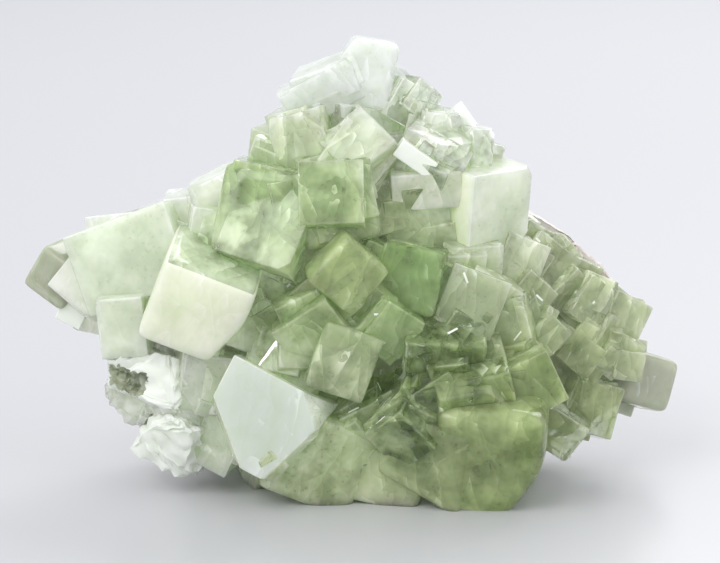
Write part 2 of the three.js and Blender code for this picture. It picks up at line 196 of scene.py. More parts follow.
# Every crystal that shows: centre and edges (width, depth, height) in mm, turn in degrees, and look. A turn
# is yaw (front face to the right), pitch (front face down) and roll (clockwise, seen from the front). A
# blunt crystal has its edges worn round by that many mm, and a rounded one is worn by that many passes. A
# trim is a broken side: the way it faces and its distance from the centre. A broken crystal is hackly all
# round, a plain one has no steps or twins, and sides give single faces a look of their own.
crystals = dict(
    # left wing
    leftTip=block((-62.75, 6, 45), (11, 12, 11), (-20, 0, 32), "dusk", rounded=20, plain=True),
    leftWingBlock=block((-46, 4.5, 49), (24, 20, 18), (-14, -8, -22), "calm", blunt=0.5, plain=True),
    leftWingCrest=block((-46.5, 10, 53.2), (19, 9, 9), (-6, 0, -18), "milk"),
    leftWingFoot=block((-55.5, 3, 44.5), (13, 12, 13), (-12, -6, 38), "calm", blunt=0.4, plain=True),
    underLeftTip=block((-60, 4, 37.5), (6, 6, 6), (-10, 0, 25), "chalk"),
    underLeftWing=block((-56, 6, 36.5), (8, 8, 8), (0, 0, 12), "mint"),
    leftMintBlock=block((-48.5, -3, 36.5), (10, 14, 13), (-6, 0, -6), "calm", blunt=0.4, plain=True),
    leftFrostedBlock=block(
        (-32, -9, 43.5), (20.5, 20, 20), (-6, 14, 22), "frosted", rounded=8, plain=True,
        sides=dict(top="moss"), trims=[dict(faces=(0.7, -0.2, -0.7), distance=11)],
    ),
    leftRidgeCube=block((-36.8, 4, 60), (6.5, 7, 6.5), (-5, 8, -8), "milk"),
    leftRidgeSlab=block((-28.7, 2.5, 64.5), (12, 12, 6.5), (0, 0, -27), "milk"),
    leftShoulder=block((-31, 2, 56), (10, 12, 10), (8, 0, 10), "mint"),
    # lower left, broken along cleavage
    brokenUpperWedge=block((-42.5, -4, 24), (18, 16, 11), (-10, -20, 22), "chalk", broken=True),
    brokenLeftWedge=block((-46, 0, 20.5), (11, 13, 12), (-20, 5, -12), "milk", broken=True),
    brokenLowerWedge=block((-37.5, -5, 13.5), (17, 16, 12), (-12, 12, 32), "chalk", broken=True),
    brokenMintWedge=block((-37, -6, 19), (11, 13, 9), (5, -10, 25), "milk", broken=True),
    # lower front
    whiteFacedBlock=block(
        (-18.3, -13, 17), (23, 20, 20.5), (-8, -12, 26), "mint", blunt=0.3, plain=True,
        sides=dict(front="whiteFrost"),
        trims=[
            dict(faces=(-0.93, -0.2, -0.31), distance=9.5),
            dict(faces=(0.62, -0.45, -0.62), distance=11),
            dict(faces=(-0.1, -0.2, -0.97), distance=11.5),
        ],
    ),
    notchCrystal=block((-17.5, -21.5, 10.5), (5.5, 6, 5.5), (5, 10, 40), "lime"),
    leftOfWhiteFace=block((-28.5, -6, 12), (11, 12, 12), (-15, 0, 25), "mint"),
    aboveLeftOfWhiteFace=block((-31, -7, 25), (12, 12, 12), (5, 0, 10), "mint"),
    yellowGreenBlock=block((-8, -10.5, 10.5), (21, 19, 20), (6, 8, 24), "lime", rounded=10, plain=True),
    darkRecessBlock=block((2.5, -11, 15.5), (13, 13, 13), (0, 10, -30), "leaf"),
    oliveBlock=block((-2.5, -14, 31), (13, 14, 14.5), (5, -5, 20), "sage", rounded=7, plain=True),
    greatLowerBlock=block(
        (29, -13, 12.5), (24, 25, 25), (-5, 12, 4), "olive", rounded=22, plain=True,
        trims=[dict(faces=(0.78, -0.2, -0.6), distance=12.5)],
    ),
    greatLowerLeft=block(
        (16.5, -12.5, 11.5), (19, 23, 20), (-12, 10, 10), "heath", rounded=8, plain=True,
        trims=[dict(faces=(-0.5, -0.25, -0.83), distance=10.5)],
    ),
    greatUpperBlock=block((24, -11.5, 24), (19, 19, 15), (6, 18, -14), "shadow", blunt=0.6),
    diagonalBandBlock=block((11.5, -14.5, 18.5), (13, 17, 13), (-8, 8, 44), "shadow", blunt=0.45),
    paleFoot=block((7.5, -10.5, 6.5), (17, 17, 13), (-10, 5, 12), "lime", rounded=8, plain=True),
    darkHollowBlock=block((16, -7, 22.5), (12, 12, 12), (10, 5, 20), "deep"),
    # centre
    greatGreenBlock=block((-18, -1, 58.5), (19.5, 20, 19.5), (-10, -18, 8), "leaf", rounded=9),
    greatGreenTwin=block((-4.5, -1.5, 61), (17, 20, 17), (6, -15, -10), "leaf", rounded=9),
    smoothGreyBlock=block((-2, -12, 50), (13, 13, 13), (10, 5, 42), "olive", rounded=14, plain=True),
    greenHollowBlock=block((-16, -4, 46), (14, 14, 14), (20, 0, 15), "leaf"),
    deepGreenBlock=block((12.5, -6, 47), (13.5, 14, 14), (-10, -5, 10), "deep", rounded=7),
    deepGreenUpperBlock=block((13, 2, 57), (14, 12, 13), (8, 0, -6), "olive"),
    leafGreenBlock=block((7, -11, 38), (11, 11, 11), (0, 10, 40), "leaf", blunt=0.45),
    slantingBlock=block((-8, -11, 37.5), (14, 13, 13), (0, 15, -35), "leaf", blunt=0.45),
    mottledBlock=block((-22, -7, 38), (12, 12, 12), (10, 0, 20), "moss"),
    mottledLowerBlock=block((-14, -8, 28), (16, 14, 14), (0, -20, 15), "spring"),
    darkBandBlock=block((19, -12, 34), (17, 12, 8), (0, 25, 3), "shadow", blunt=0.5),
    paleMiddleBlock=block((24.5, -5, 42), (13, 13, 13), (5, -5, 22), "pale", blunt=0.3),
    inclusionBlock=block((24, 0, 49), (12, 12, 11), (20, 10, 0), "pale"),
    # summit
    summitBlock=block(
        (2.5, 10, 88.3), (12.5, 12, 14.5), (0, -5, 10), "summit", rounded=10, plain=True,
        trims=[dict(faces=(-0.8, 0, 0.6), distance=6.6)],
    ),
    summitSlab=block((-7, 9, 84), (17, 12, 9), (0, 0, -28), "summit", blunt=0.5),
    rightOfSummit=block((11, 8, 82), (9, 9, 9), (15, 0, 30), "clear"),
    rightSummitCube=block((17.5, 6, 77), (8, 8, 8), (10, 0, 10), "clear"),
    upperLeftBlock=block((-10, 5, 75), (12, 13, 12), (-15, 0, -15), "pale"),
    upperLeftStep=block((-16.5, 6, 69.5), (10, 10, 10), (-20, 0, 20), "moss"),
    roofBlock=block((0, 3, 69.5), (14, 15, 14), (0, -20, 40), "pale", blunt=0.4),
    clearUpperBlock=block((17, 3, 71), (13, 13, 13), (-20, 10, 25), "clear"),
    whiteShard=block((13, -3, 72), (9, 5, 4), (0, 0, 35), "chalk"),
    shelfBlock=block((15.5, 1, 66), (15, 12, 8), (0, 10, -4), "mint", blunt=0.4),
    narrowBlock=block((25.5, 4, 71.5), (5, 8, 12), (30, 0, 5), "clear"),
    whitePlate=block((24.5, 9, 77), (3, 8, 9), (0, 0, -35), "chalk"),
    peepingCube=block((29, 10, 70.5), (5, 5, 5), (20, 0, 15), "mint"),
    # right wing
    rightCube=block(
        (26, 4.5, 60), (17, 16, 19.5), (40, 6, 0), "calm", blunt=0.3, plain=True,
        # its left face takes the paler frosted look: painted light on the face turned to the key light
        sides=dict(left="frosted"),
    ),
    besideRightCube=block((34.5, 5, 48), (10, 11, 11), (15, -5, 24), "pale"),
    underRightCube=block((40.5, 10, 45.5), (11, 12, 11), (10, -15, 40), "sage"),
    rightSlopeCube=block((50, 8, 38), (10, 12, 10), (25, -5, 38), "sage"),
    rightEdgeCube=block((55, 11, 34), (11, 12, 11), (20, -5, 16), "sage"),
    rightEdgeStep=block((55.5, 9, 38), (6, 6, 6), (20, 10, 20), "sage"),
    smallTiltedCube=block((37, 0.5, 41.5), (8.5, 8.5, 8.5), (15, -5, 43), "sage"),
    smallerTiltedCube=block((41.6, -2, 34), (7, 7, 7), (5, 0, 45), "sage"),
    narrowRightCube=block((34.5, -4, 36.5), (8, 10, 12), (-15, 0, -15), "sage"),
    rightOliveBlock=block((36.5, -11, 25.5), (12, 13, 12), (10, 0, -25), "olive", blunt=0.3),
    rightMiddleCube=block((50, 6, 28.5), (11, 11, 11), (10, -5, 40), "olive"),
    rightLowerCube=block((56, 6, 28), (9, 9, 9), (25, 5, 30), "sage"),
    rightTip=block((62, 12, 20), (14, 12, 12), (20, -10, 20), "dusk", rounded=26, plain=True),
    rightTipCube=block((59, 4, 25.5), (6.5, 6.5, 6.5), (10, 0, 10), "sage", blunt=0.45),
    rightFootBlock=block((50.5, 7, 16.5), (11, 12, 11), (15, 0, 20), "olive"),
    rightFootShard=block((45, 4, 12), (10, 10, 10), (-10, 15, 35), "sage"),
    edgeCubeUpper=block((38.5, 13.5, 51.5), (6.5, 8, 6.5), (15, 0, 30), "sage"),
    edgeCubeMiddle=block((44, 13.5, 47.5), (7, 8, 7), (20, -5, 48), "pale"),
    edgeCubeLower=block((49.5, 13, 43.5), (6.5, 8, 6.5), (10, 0, 25), "sage"),
    edgeCubeLowest=block((54.5, 12.5, 39), (6, 8, 6), (25, 5, 40), "sage"),
    # behind those that show, down to the rock and the base
    middleBack=block((-3, 11, 38), (42, 24, 48), (4, 0, 6), "leaf"),
    leftBack=block((-38, 10, 43), (32, 18, 16), (6, 0, -8), "mint"),
    rightBack=block((36, 14, 28), (32, 16, 20), (-8, 0, 20), "olive"),
    upperBack=block((3, 11, 70), (22, 14, 22), (10, 0, 12), "clear"),
    leftBase=block((-12.5, 7, 9), (22, 22, 22), (16, 6, 9), "leaf"),
    middleBase=block((5, 8, 10), (26, 26, 24), (-12, -4, 5), "olive", blunt=0.6),
    rightBase=block((23, 9, 10), (24, 24, 22), (22, 5, -10), "olive"),
)

growth = dict(
    seed=11,
    shade=(0.9, 1.1),  # how much darker or paler one crystal is than another
    brightest=0.96,  # of full white, in any tint
    edgeWear=0.32,  # mm rounded off a sharp edge
    edgeHighlight=0.15,  # how far a worn edge is painted towards white, as a painted highlight along it
    twinFrom=9,  # mm, the smallest crystal with twins
    twinUpTo=21,  # mm, the least wear whose edge is painted only a third as pale
    twins=(2, 3),  # crystals grown through a larger one
    twinSize=(0.6, 0.92),  # of the larger one's edges
    twinTurn=15,  # degrees each way
    twinShift=0.24,  # of the larger one's edges
    cornerChips=3,  # corners of each crystal broken along its cleavage, at most
    grownChips=2,  # the same of a twin or a bridge
    chipDepth=(0.06, 0.3),  # of the way from a corner to the middle
    chipPale=0.1,  # how far a chip is towards white
    softFrom=0.35,  # mm, the least wear that looks soft
    softCuts=4,  # faces across a soft edge
    sharpCuts=2,  # and across a sharper one
    calmFrom=0.4,  # mm, the least wear that is hardly paler
    sideFrom=0.85,  # cosine between a face and the side it belongs to, at least
    startSpread=40,  # mm, how far apart the textures of two crystals start
    stepsPerFace=0.6,  # low growth steps on each face of a larger crystal, on average
    bandShare=0.7,  # steps that run right across a face
    stepHeight=(0.08, 0.3),  # mm
    stepWear=0.05,  # mm
    stepInset=0.1,  # mm inside the worn edge
    stepSpan=(0.25, 0.8),  # of the face's width
    stepFrom=7,  # mm, the smallest crystal with steps
    sprouts=110,  # small crystals in the crevices
    sproutSize=(1.6, 3.6),  # mm
    sproutSunk=0.5,  # of a sprout's width
    sproutTurn=30,  # degrees each way
    creviceGap=(-0.4, 1.2),  # mm from the crystal beside it
    flakes=120,  # slivers of cleavage left on the faces, white, standing in for glints as painted highlights too
    flakeSize=((0.9, 2.8), (0.25, 0.5), (0.2, 0.35)),  # mm, long, wide and thick
    flakeTurns=(0, 45, 90, 135),  # degrees to a face's edge
    flakeSway=8,  # degrees each way
    flakeSpan=0.45,  # of the face's width, the most from its middle
    flakeGap=0.3,  # mm from the crystal beside it, at least
    flakeWear=0.04,  # mm
    roundCuts=17,  # cuts across each face of a rounded crystal
    roundPull=0.5,  # of the way to its neighbours that a point moves in each pass
    hazeReach=0.6,  # of a crystal's width, how far its tint spreads in the haze
    hazeFall=6,  # the power with which it fades there
    hazeUpTo=0.2,  # the frost of the frostiest crystals that the haze passes through
    breaks=14,  # planes that a broken crystal is cut by
    breakReach=(0.62, 0.9),  # of the way out to its corners
    hackle=1.2,  # mm, the roughness of a break
    hackleLength=2.2,  # mm
    hackleOctaves=(0.6, 2.2, 4),  # dimension, step and count
    hackleCuts=7,  # cuts across each face of a break
    smoothAngle=46,  # degrees, where a rounded edge ends and a crease begins
    cutLook="pale",  # where the crystals end at the rock and the floor
)

bridge = dict(
    hostUpTo=30,  # mm, the largest crystal beside one
    near=1.25,  # of two neighbours' mean width, the most between their middles
    levels=14,  # mm, the most between their faces
    width=0.85,  # of the smaller neighbour
    widthSpread=(0.85, 1.15),
    place=(0.4, 0.6),  # of the way from one to the other
    behind=(-1.2, 1.6),  # mm behind the face of the one further back
    behindPlain=(1.5, 3),  # the same beside a crystal with clean faces
    turn=18,  # degrees each way
)

crack = dict(
    hostFrom=8,  # mm, the smallest crystal with cracks
    perCrystal=(0, 1),
    reach=(0.2, 0.36),  # of the crystal's edges, to each side
    narrow=(0.45, 1),  # of its length
    spread=0.2,  # of the crystal's edges, off its middle
    thickness=0.05,  # mm
    wave=0.7,  # mm
    waveLength=3.5,  # mm
    waveOctaves=(0.8, 2, 3),  # dimension, step and count
    spin=6,  # radians, the most about its own axis
    tint=(0.95, 0.97, 0.92),
    cloud=0.3,
    frost=0.3,
    shard=1,
)

# A hollow broken into the lower left end, its faces in the darker dusk look as painted shade inside the
# hollow
pocket = block((-48, -11, 25.5), (9, 8, 5), (10, -15, 30), "dusk", broken=True)

# Where the crystals meet the rock in mm, as the part's source gives it
contactPlace = dict(depth=21.6, lean=0.07, bow=6, swell=1.2, waves=(11, 13), halfLength=65, into=1.0)

# The space behind that place, in mm
rockSpace = dict(size=(200, 160), points=(40, 32), middle=50, back=120)

# Small crystals along the rock's edge, as the part's source gives them
rim = dict(
    outline=[
        (-26, 0), (-36, 7), (-43, 17), (-46, 28), (-57, 36), (-61, 44), (-50, 53), (-36, 60), (-24, 67),
        (-15, 78), (-3, 86), (8, 83), (18, 74), (29, 64), (41, 54.5), (50, 48), (57.5, 41), (60, 33),
        (64, 24), (59, 15), (50, 9), (36, 4), (30, 0),
    ],
    count=46,
    middle=(0, 36),
    inward=(0.14, 0.26),
    width=(6, 10),
    outOfRock=(2, 9),
    yaw=(-40, 40),
    pitch=(-25, 25),
    roll=(0, 90),
    steps=dict(inward=0.618, width=0.414, outOfRock=0.732, yaw=0.236, pitch=0.559, roll=0.323),
    looks=[(-20, "milk"), (25, "clear"), (200, "sage")],  # up to this x in mm
    brokenUpTo=(-24, 32),  # x and z in mm, the end that is broken
)


def dice(name):
    # a random sequence of its own for each name
    return random.Random(f"{growth['seed']} {name}")


sideWays = dict(front=(0, -1, 0), top=(0, 0, 1), left=(-1, 0, 0))


def turnMatrix(turn):
    yaw, pitch, roll = (math.radians(angle) for angle in turn)
    return Matrix.Rotation(yaw, 4, "Z") @ Matrix.Rotation(pitch, 4, "X") @ Matrix.Rotation(roll, 4, "Y")


def contactDepth(x, z):
    c = contactPlace
    swell = c["swell"] * math.sin(x / c["waves"][0]) * math.cos(z / c["waves"][1])
    return c["depth"] - c["lean"] * z - c["bow"] * (x / c["halfLength"]) ** 2 + swell


def between(limits, part):
    return limits[0] + (limits[1] - limits[0]) * part


def rimValue(key, n):
    # spreads the crystals of the rim evenly between their limits
    return between(rim[key], n * rim["steps"][key] % 1)


def rimCrystals():
    corners = [Vector(point) for point in rim["outline"]]
    sides = list(zip(corners, corners[1:] + corners[:1]))
    around = sum((end - start).length for start, end in sides)
    for n in range(rim["count"]):
        along = around * n / rim["count"]
        for start, end in sides:
            if along <= (end - start).length:
                break
            along -= (end - start).length
        edge = start.lerp(end, along / (end - start).length)
        point = edge.lerp(Vector(rim["middle"]), rimValue("inward", n))
        width = rimValue("width", n)
        depth = contactDepth(*point) - rimValue("outOfRock", n)
        turn = [rimValue(angle, n) for angle in ("yaw", "pitch", "roll")]
        at = (point.x, depth, max(point.y, width / 2))
        size = (width, width, width)
        if point.x < rim["brokenUpTo"][0] and point.y < rim["brokenUpTo"][1]:
            yield block(at, size, turn, "chalk", broken=True)
        else:
            yield block(at, size, turn, next(name for limit, name in rim["looks"] if point.x < limit))


def cutAway(bm, point, way):
    # takes off what lies past a plane, closes the cut and gives its faces
    geometry = bm.verts[:] + bm.edges[:] + bm.faces[:]
    bmesh.ops.bisect_plane(bm, geom=geometry, dist=1e-7, plane_co=point, plane_no=way, clear_outer=True)
    bare = [edge for edge in bm.edges if edge.is_boundary]
    if not bare:
        return []
    return bmesh.ops.holes_fill(bm, edges=bare, sides=0)["faces"]


def objectFrom(bm, name, collection):
    mesh = bpy.data.meshes.new(name)
    bm.to_mesh(mesh)
    bm.free()
    made = bpy.data.objects.new(name, mesh)
    collection.objects.link(made)
    return made


def anyStart(rng):
    # a start of its own for a texture, in mm
    return Vector([rng.uniform(-growth["startSpread"], growth["startSpread"]) for _ in range(3)])


def anyTurn(rng, most):
    # degrees about each axis
    return Vector([rng.uniform(-1, 1) * most for _ in range(3)])


def anyCorner(rng):
    return Vector([rng.choice((-1, 1)) for _ in range(3)])


def breakUp(bm, half, rng):
    # angular breaks all round, with a hackly surface
    for _ in range(growth["breaks"]):
        way = Vector([rng.gauss(0, 1) for _ in range(3)]).normalized()
        reach = sum(abs(part) * edge for part, edge in zip(way, half)) * rng.uniform(*growth["breakReach"])
        cutAway(bm, way * reach, way)
    bmesh.ops.triangulate(bm, faces=bm.faces[:])
    bmesh.ops.subdivide_edges(bm, edges=bm.edges[:], cuts=growth["hackleCuts"], use_grid_fill=True)
    bm.normal_update()
    shift = anyStart(rng)
    for vert in bm.verts:
        rough = noise.fractal(vert.co / mm / growth["hackleLength"] + shift, *growth["hackleOctaves"])
        vert.co += vert.normal * growth["hackle"] * mm * rough


def roundOff(bm, passes):
    # wears the edges and corners round, and leaves the middles of the faces flat
    axes = dict(use_axis_x=True, use_axis_y=True, use_axis_z=True)
    for _ in range(passes):
        bmesh.ops.smooth_vert(bm, verts=bm.verts, factor=growth["roundPull"], **axes)


def pushBack(bm, point, way):
    # flattens what stands past a plane
    for vert in bm.verts:
        over = (vert.co - point).dot(way)
        if over > 0:
            vert.co -= way * over


def lookLayers(bm):
    # where a mesh keeps how it looks
    faces = bm.faces.layers
    stores = dict(
        tint=faces.float_color, frost=faces.float, shard=faces.float, around=bm.loops.layers.float_color,
    )
    return {name: store.get(name) or store.new(name) for name, store in stores.items()}


@functools.cache
def surroundings(x, y, z):
    # the tint and cloud of the named crystals about a place in mm, the nearest above all
    colour = Vector((0, 0, 0, 0))
    whole = 0
    for spec in crystals.values():
        width = sum(spec["size"]) / 3
        if width <= bridge["hostUpTo"] and not spec.get("broken"):
            look = looks[spec["look"]]
            away = (Vector((x, y, z)) - Vector(spec["at"])).length
            weight = 1 / (1 + (away / width / growth["hazeReach"]) ** growth["hazeFall"])
            colour += Vector((*look["tint"], look["cloud"])) * weight
            whole += weight
    return colour / whole


def spreadHaze(faces, layers, apart):
    # gives faces the tint of what grows about them, or their own where they keep apart
    for face in faces:
        for loop in face.loops:
            place = [round(part / mm) for part in loop.vert.co]
            loop[layers["around"]] = face[layers["tint"]] if apart else surroundings(*place)


def mapLocal(bm, rng):
    # gives the surface its place in the crystal, in mm, from a start of its own
    local = bm.loops.layers.float_vector.new("local")
    shift = anyStart(rng)
    for face in bm.faces:
        for loop in face.loops:
            loop[local] = loop.vert.co / mm + shift


def paint(faces, layers, tint, cloud, frost, shard):
    for face in faces:
        face[layers["tint"]] = (*tint, min(cloud, 1))
        face[layers["frost"]] = frost
        face[layers["shard"]] = shard


def paler(tint, amount):
    return [level + (1 - level) * amount for level in tint]


def wearEdges(bm, layers, spec, half, tint, rng):
    # worn edges, painted paler as edge highlights, and corners chipped off
    look = looks[spec["look"]]
    wear = spec.get("blunt", growth["edgeWear"])
    worn = bmesh.ops.bevel(
        bm, geom=bm.edges[:], offset=wear * mm, offset_type="OFFSET", affect="EDGES",
        segments=growth["softCuts"] if wear > growth["softFrom"] else growth["sharpCuts"],
        profile=0.5, material=-1, clamp_overlap=True,
    )["faces"]
    # the worn edges are painted paler: a painted highlight along each edge, a third as strong on blunter
    # ones
    pale = growth["edgeHighlight"] if wear < growth["calmFrom"] else growth["edgeHighlight"] / 3
    paint(worn, layers, paler(tint, pale), look["cloud"] + pale / 2, look["frost"], look["shard"])
    for _ in range(spec.get("chips", 0)):
        way = anyCorner(rng).normalized()
        reach = sum(half) / math.sqrt(3) * (1 - rng.uniform(*growth["chipDepth"]))
        cut = cutAway(bm, way * reach, way)
        paint(cut, layers, paler(tint, growth["chipPale"]), look["cloud"], look["frost"] / 2, look["shard"])


def makeCrystal(name, spec, collection):
    rng = dice(name)
    look = looks[spec["look"]]
    shade = rng.uniform(*growth["shade"])
    tint = [min(level * shade, growth["brightest"]) for level in look["tint"]]
    turn = spec.get("lie") or turnMatrix(spec["turn"])
    half = Vector(spec["size"]) * mm / 2
    bm = bmesh.new()
    layers = lookLayers(bm)
    bmesh.ops.create_cube(bm, size=1)
    bmesh.ops.scale(bm, vec=2 * half, verts=bm.verts)
    rounded = spec.get("rounded", 0)
    if rounded:
        bmesh.ops.subdivide_edges(bm, edges=bm.edges[:], cuts=growth["roundCuts"], use_grid_fill=True)
    for trim in spec.get("trims", ()):
        way = turn.inverted().to_3x3() @ Vector(trim["faces"]).normalized()
        cut = pushBack if rounded else cutAway
        cut(bm, way * trim["distance"] * mm, way)
    roundOff(bm, rounded)
    if spec.get("broken"):
        breakUp(bm, half, rng)
    bm.normal_update()
    paint(bm.faces, layers, tint, look["cloud"], look["frost"], look["shard"])
    for side, sideLook in spec.get("sides", {}).items():
        way = Vector(sideWays[side])
        facing = [face for face in bm.faces if face.normal.dot(way) > growth["sideFrom"]]
        paint(facing, layers, **looks[sideLook])
    if not spec.get("broken") and not rounded:
        wearEdges(bm, layers, spec, half, tint, rng)
    mapLocal(bm, rng)
    place = Matrix.Translation(Vector(spec["at"]) * mm) @ turn
    bmesh.ops.transform(bm, matrix=place, verts=bm.verts)
    apart = spec.get("broken") or look["frost"] > growth["hazeUpTo"]
    spreadHaze(bm.faces, layers, apart)
    return objectFrom(bm, name, collection)


def placeIn(spec, local):
    # where a place in a crystal's own axes lies in the whole
    return Vector(spec["at"]) + turnMatrix(spec["turn"]).to_3x3() @ local


def growthSteps(name, spec):
    # low steps on a crystal's faces: bands right across, or plates from one corner
    rng = dice(name + " steps")
    half = Vector(spec["size"]) / 2
    inset = spec.get("blunt", growth["edgeWear"]) + growth["stepInset"]
    for axis in range(3):
        for side in (-1, 1):
            if rng.random() > growth["stepsPerFace"]:
                continue
            height = rng.uniform(*growth["stepHeight"])
            size = Vector(spec["size"])
            centre = Vector((0, 0, 0))
            size[axis] = half[axis]
            centre[axis] = side * (half[axis] / 2 + height)
            across = [other for other in range(3) if other != axis]
            rng.shuffle(across)
            whole = across[0] if rng.random() < growth["bandShare"] else None
            for other in across:
                room = spec["size"][other] - 2 * inset
                size[other] = room if other == whole else rng.uniform(*growth["stepSpan"]) * room
                centre[other] = rng.choice((-1, 1)) * (room - size[other]) / 2
            at = placeIn(spec, centre)
            yield block(at, size, spec["turn"], spec["look"], blunt=growth["stepWear"])


def twins(name, spec):
    # crystals of much the same size grown through a larger one, whose corners break its faces
    rng = dice(name + " twins")
    for _ in range(rng.randint(*growth["twins"])):
        shift = Vector([rng.uniform(-1, 1) * growth["twinShift"] * edge for edge in spec["size"]])
        width = rng.uniform(*growth["twinSize"])
        turn = Vector(spec["turn"]) + anyTurn(rng, growth["twinTurn"])
        yield block(
            placeIn(spec, shift), Vector(spec["size"]) * width, turn, spec["look"],
            blunt=spec.get("blunt", growth["edgeWear"]), chips=rng.randint(0, growth["grownChips"]),
        )


def darker(*specs):
    return min((spec["look"] for spec in specs), key=lambda name: looks[name]["tint"][0])


def bridges(hosts):
    # crystals that fill the valleys between neighbours, a little behind the faces of both
    b = bridge
    for pair in itertools.combinations(hosts, 2):
        one, other = (hosts[name] for name in pair)
        first, second = Vector(one["at"]), Vector(other["at"])
        apart = (first.xz - second.xz).length
        if apart > b["near"] * (min(one["size"]) + min(other["size"])) / 2:
            continue
        fronts = [spec["at"][1] - spec["size"][1] / 2 for spec in (one, other)]
        if abs(fronts[0] - fronts[1]) > b["levels"]:
            continue
        rng = dice(" ".join(pair))
        width = b["width"] * min(*one["size"], *other["size"]) * rng.uniform(*b["widthSpread"])
        middle = first.lerp(second, rng.uniform(*b["place"]))
        behind = b["behindPlain"] if one.get("plain") or other.get("plain") else b["behind"]
        depth = max(fronts) + rng.uniform(*behind) + width / 2
        lean = anyTurn(rng, b["turn"])
        turn = Vector(rng.choice((one, other))["turn"]) + lean
        yield block(
            (middle.x, depth, max(middle.z, width / 2)), (width, width, width), turn, darker(one, other),
            chips=rng.randint(0, growth["grownChips"]),
        )


def gapTo(spec, point):
    # how far a point is outside a crystal, negative inside it
    local = turnMatrix(spec["turn"]).to_3x3().inverted() @ (point - Vector(spec["at"]))
    over = [abs(place) - edge / 2 for place, edge in zip(local, spec["size"])]
    outside = Vector([max(step, 0) for step in over]).length
    return outside + min(max(over), 0)


def sprouts(hosts):
    # small crystals where two larger ones meet, sunk part of the way in
    rng = dice("sprouts")
    low, high = growth["creviceGap"]
    made = 0
    while made < growth["sprouts"]:
        host = rng.choice(hosts)
        axis = rng.randrange(3)
        width = rng.uniform(*growth["sproutSize"])
        centre = Vector([rng.uniform(-0.5, 0.5) * edge for edge in host["size"]])
        side = rng.choice((-0.5, 0.5))
        centre[axis] = side * (host["size"][axis] - growth["sproutSunk"] * width)
        at = placeIn(host, centre)
        gap, beside = min(((gapTo(other, at), n) for n, other in enumerate(hosts) if other is not host))
        if low < gap < high:
            most = growth["sproutTurn"]
            turn = Vector(host["turn"]) + Vector([rng.uniform(-most, most) for _ in range(3)])
            look = darker(host, hosts[beside])
            made += 1
            yield block(at, (width, width, width), turn, look, chips=1)


def flakes(hosts):
    # bright white slivers on the faces, along the traces of the cleavage, standing in for glints as painted
    # highlights too
    rng = dice("flakes")
    made = 0
    while made < growth["flakes"]:
        host = rng.choice(hosts)
        axis = rng.randrange(3)
        span = growth["flakeSpan"]
        centre = Vector([rng.uniform(-span, span) * edge for edge in host["size"]])
        side = rng.choice((-0.5, 0.5))
        centre[axis] = side * host["size"][axis]
        at = placeIn(host, centre)
        if any(gapTo(other, at) < growth["flakeGap"] for other in hosts if other is not host):
            continue
        out = Vector([0, 0, 0])
        out[axis] = side
        lying = out.to_track_quat("Z", "Y").to_matrix().to_4x4()
        sway = growth["flakeSway"]
        angle = rng.choice(growth["flakeTurns"]) + rng.uniform(-sway, sway)
        spin = Matrix.Rotation(math.radians(angle), 4, "Z")
        size = [rng.uniform(*limits) for limits in growth["flakeSize"]]
        made += 1
        lie = turnMatrix(host["turn"]) @ lying @ spin
        # chalk white, a painted highlight standing in for glints
        yield dict(at=at, size=size, lie=lie, look="chalk", blunt=growth["flakeWear"])


def makeCracks(collection):
    # thin wavy cracks inside the crystals, each along one of a crystal's cleavage planes
    for name, spec in crystals.items():
        if min(spec["size"]) < crack["hostFrom"] or spec.get("broken"):
            continue
        rng = dice(name + " cracks")
        edges = Vector(spec["size"]) * mm
        for _ in range(rng.randint(*crack["perCrystal"])):
            bm = bmesh.new()
            layers = lookLayers(bm)
            bmesh.ops.create_icosphere(bm, subdivisions=3, radius=1)
            reach = min(edges) * rng.uniform(*crack["reach"])
            size = (reach, reach * rng.uniform(*crack["narrow"]), crack["thickness"] * mm)
            bmesh.ops.scale(bm, vec=size, verts=bm.verts)
            shift = anyStart(rng)
            for vert in bm.verts:
                spot = vert.co / mm / crack["waveLength"] + shift
                vert.co.z += crack["wave"] * mm * noise.fractal(spot, *crack["waveOctaves"])
            paint(bm.faces, layers, crack["tint"], crack["cloud"], crack["frost"], crack["shard"])
            spreadHaze(bm.faces, layers, True)
            mapLocal(bm, rng)
            plane = anyCorner(rng)
            spin = Matrix.Rotation(rng.uniform(0, crack["spin"]), 4, "Z")
            tip = plane.to_track_quat("Z", "Y").to_matrix().to_4x4() @ spin
            off = Vector([rng.uniform(-1, 1) * crack["spread"] * edge for edge in edges])
            place = Matrix.Translation(Vector(spec["at"]) * mm) @ turnMatrix(spec["turn"])
            bmesh.ops.transform(bm, matrix=place @ Matrix.Translation(off) @ tip, verts=bm.verts)
            objectFrom(bm, "crack", collection)


def rockRoom(collection):
    # the space behind the contact surface, to take away from the crystals
    long, high = rockSpace["size"]
    across, up = rockSpace["points"]
    bm = bmesh.new()
    layers = lookLayers(bm)
    bmesh.ops.create_grid(bm, x_segments=across, y_segments=up, size=0.5)
    bmesh.ops.transform(bm, matrix=Matrix.Rotation(math.pi / 2, 4, "X"), verts=bm.verts)
    bmesh.ops.scale(bm, vec=(long * mm, 1, high * mm), verts=bm.verts)
    bmesh.ops.translate(bm, vec=(0, 0, rockSpace["middle"] * mm), verts=bm.verts)
    for vert in bm.verts:
        vert.co.y = (contactDepth(vert.co.x / mm, vert.co.z / mm) + contactPlace["into"]) * mm
    grown = bmesh.ops.extrude_face_region(bm, geom=bm.faces[:])
    behind = [part for part in grown["geom"] if isinstance(part, bmesh.types.BMVert)]
    for vert in behind:
        vert.co.y = rockSpace["back"] * mm
    bmesh.ops.recalc_face_normals(bm, faces=bm.faces[:])
    paint(bm.faces, layers, **looks[growth["cutLook"]])
    spreadHaze(bm.faces, layers, False)
    mapLocal(bm, dice("rockRoom"))
    return objectFrom(bm, "rockRoom", collection)


def applyModifiers(target):
    shaped = target.evaluated_get(bpy.context.evaluated_depsgraph_get())
    mesh = bpy.data.meshes.new_from_object(shaped)
    target.modifiers.clear()
    target.data = mesh


